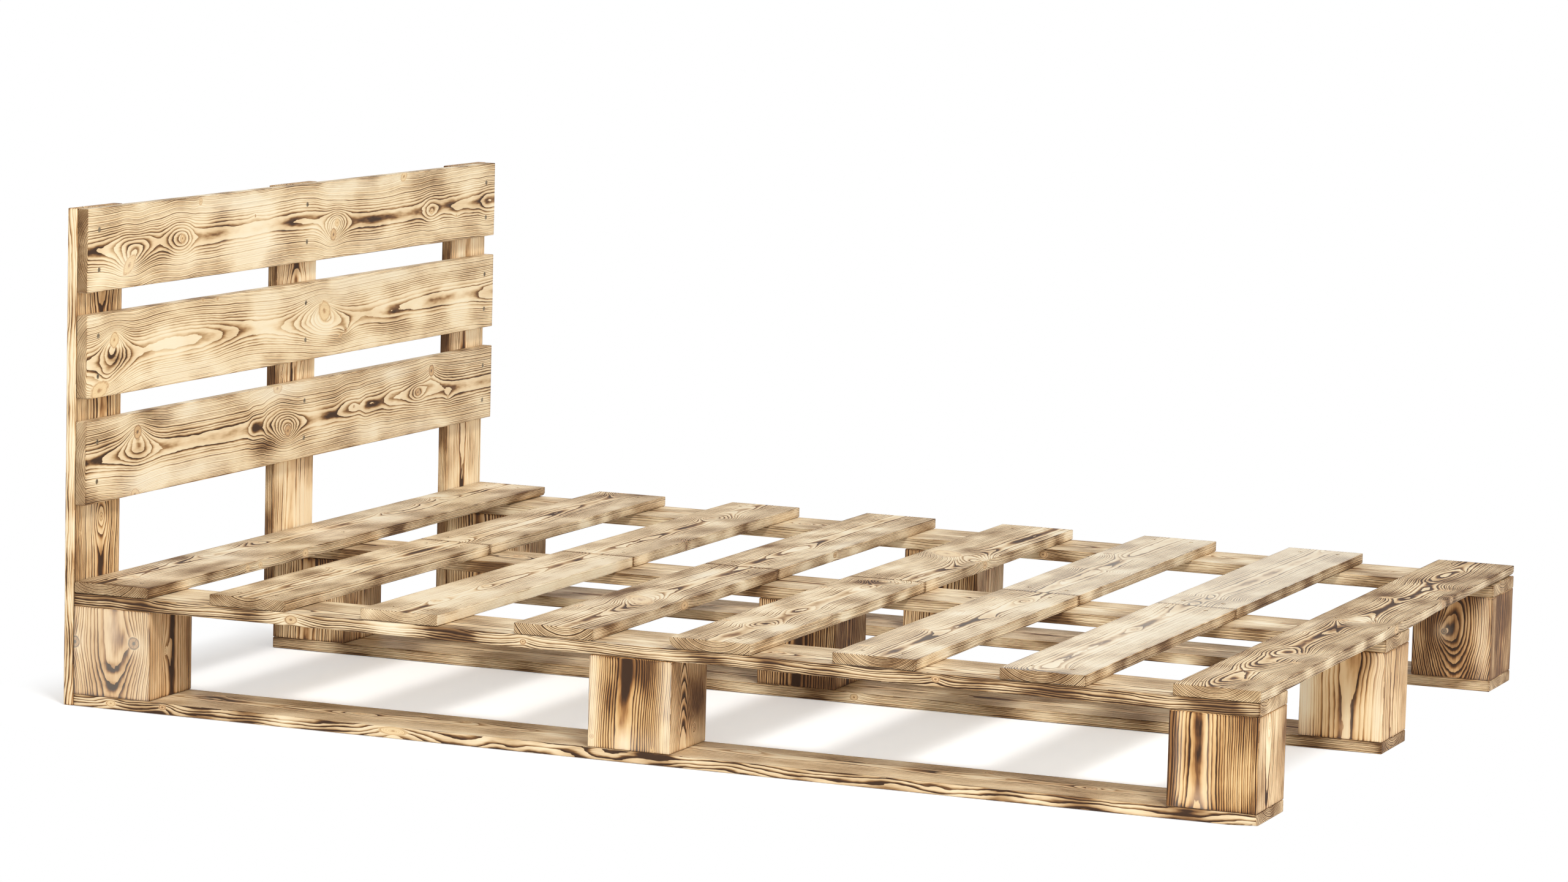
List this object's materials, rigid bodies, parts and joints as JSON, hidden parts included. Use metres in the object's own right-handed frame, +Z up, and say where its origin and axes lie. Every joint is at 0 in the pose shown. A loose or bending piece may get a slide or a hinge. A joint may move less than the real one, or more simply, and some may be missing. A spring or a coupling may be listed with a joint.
{
  "type": "pallet bed",
  "caption": "Low slatted bed base built like a pallet, on runners and square blocks, with a boarded headboard on flat posts.",
  "frame": {"origin": "on the floor, under the middle of the whole bed's box", "axes": "+X across the bed, from the picture's near side to its far side; +Y along the bed towards the headboard; +Z up"},
  "size_m": [1.5, 2.0184, 0.808],
  "materials": {
    "slat_wood": "lightly torched and brushed softwood, satin",
    "rail_wood": "torched softwood, satin",
    "block_wood": "heavily torched softwood, satin",
    "headboard_wood": "torched and brushed softwood, satin",
    "post_wood": "torched softwood, satin",
    "screw_steel": "dulled plated steel"
  },
  "bodies": {
    "root": {"runner_near": "rail_wood", "runner_middle": "rail_wood", "runner_far": "rail_wood", "rail_near": "rail_wood", "rail_middle": "rail_wood", "rail_far": "rail_wood", "block_near_head": "block_wood", "block_near_middle": "block_wood", "block_near_foot": "block_wood", "block_middle_head": "block_wood", "block_middle_middle": "block_wood", "block_middle_foot": "block_wood", "block_far_head": "block_wood", "block_far_middle": "block_wood", "block_far_foot": "block_wood", "slat_1": "slat_wood", "slat_2_near": "slat_wood", "slat_2_far": "slat_wood", "slat_3_near": "slat_wood", "slat_3_far": "slat_wood", "slat_4_near": "slat_wood", "slat_4_far": "slat_wood", "slat_5_near": "slat_wood", "slat_5_far": "slat_wood", "slat_6_near": "slat_wood", "slat_6_far": "slat_wood", "slat_7_near": "slat_wood", "slat_7_far": "slat_wood", "slat_8": "slat_wood", "post_near": "post_wood", "post_middle": "post_wood", "post_far": "post_wood", "headboard_board_top": "headboard_wood", "headboard_board_centre": "headboard_wood", "headboard_board_bottom": "headboard_wood", "board_screw_top_near_upper": "screw_steel", "board_screw_top_near_lower": "screw_steel", "board_screw_top_middle_upper": "screw_steel", "board_screw_top_middle_lower": "screw_steel", "board_screw_top_far_upper": "screw_steel", "board_screw_top_far_lower": "screw_steel", "board_screw_centre_near_upper": "screw_steel", "board_screw_centre_near_lower": "screw_steel", "board_screw_centre_middle_upper": "screw_steel", "board_screw_centre_middle_lower": "screw_steel", "board_screw_centre_far_upper": "screw_steel", "board_screw_centre_far_lower": "screw_steel", "board_screw_bottom_near_upper": "screw_steel", "board_screw_bottom_near_lower": "screw_steel", "board_screw_bottom_middle_upper": "screw_steel", "board_screw_bottom_middle_lower": "screw_steel", "board_screw_bottom_far_upper": "screw_steel", "board_screw_bottom_far_lower": "screw_steel", "post_screw_near_upper": "screw_steel", "post_screw_near_lower": "screw_steel", "post_screw_middle_upper": "screw_steel", "post_screw_middle_lower": "screw_steel", "post_screw_far_upper": "screw_steel", "post_screw_far_lower": "screw_steel"}
  },
  "joints": []
}
